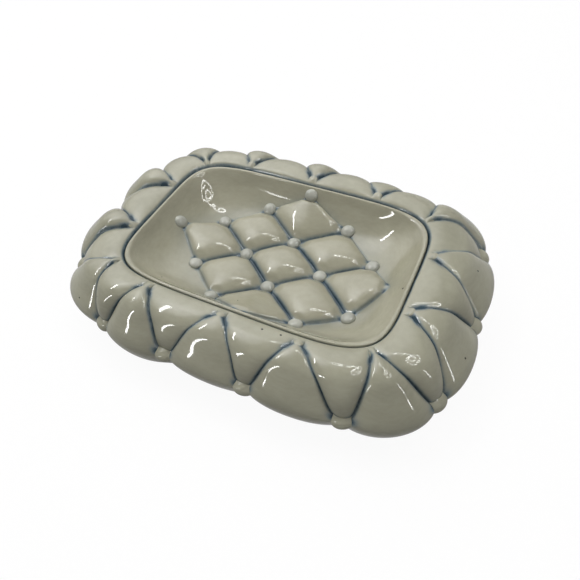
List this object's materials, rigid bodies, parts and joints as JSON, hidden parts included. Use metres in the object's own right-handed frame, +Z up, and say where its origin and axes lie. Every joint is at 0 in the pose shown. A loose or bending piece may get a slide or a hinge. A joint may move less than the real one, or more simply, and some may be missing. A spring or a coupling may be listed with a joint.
{
  "type": "soap dish",
  "caption": "Oblong glazed ceramic soap dish: a padded, tufted ring round a shallow basin with a quilted floor and small clay buttons.",
  "frame": {"origin": "middle of the dish's outline, on the surface it stands on", "axes": "+X along the length, +Y across the width, +Z up out of the basin"},
  "size_m": [0.1666, 0.1188, 0.033],
  "materials": {
    "celadon_glaze": "gloss",
    "basin_glaze": "gloss",
    "button_glaze": "gloss"
  },
  "bodies": {
    "root": {"tufted_frame": "celadon_glaze", "basin": "basin_glaze", "basin_button_a1": "button_glaze", "basin_button_a2": "button_glaze", "basin_button_a3": "button_glaze", "basin_button_a4": "button_glaze", "basin_button_b1": "button_glaze", "basin_button_b2": "button_glaze", "basin_button_b3": "button_glaze", "basin_button_b4": "button_glaze", "basin_button_c1": "button_glaze", "basin_button_c2": "button_glaze", "basin_button_c3": "button_glaze", "basin_button_c4": "button_glaze", "basin_button_d2": "button_glaze", "basin_button_d3": "button_glaze", "rim_button_01": "button_glaze", "rim_button_02": "button_glaze", "rim_button_03": "button_glaze", "rim_button_04": "button_glaze", "rim_button_05": "button_glaze", "rim_button_06": "button_glaze", "rim_button_07": "button_glaze", "rim_button_08": "button_glaze", "rim_button_09": "button_glaze", "rim_button_10": "button_glaze", "rim_button_11": "button_glaze", "rim_button_12": "button_glaze", "rim_button_13": "button_glaze", "rim_button_14": "button_glaze", "skirt_button_01": "button_glaze", "skirt_button_02": "button_glaze", "skirt_button_03": "button_glaze", "skirt_button_04": "button_glaze", "skirt_button_05": "button_glaze", "skirt_button_06": "button_glaze", "skirt_button_07": "button_glaze", "skirt_button_08": "button_glaze", "skirt_button_09": "button_glaze", "skirt_button_10": "button_glaze", "skirt_button_11": "button_glaze", "skirt_button_12": "button_glaze", "skirt_button_13": "button_glaze", "skirt_button_14": "button_glaze"}
  },
  "joints": []
}
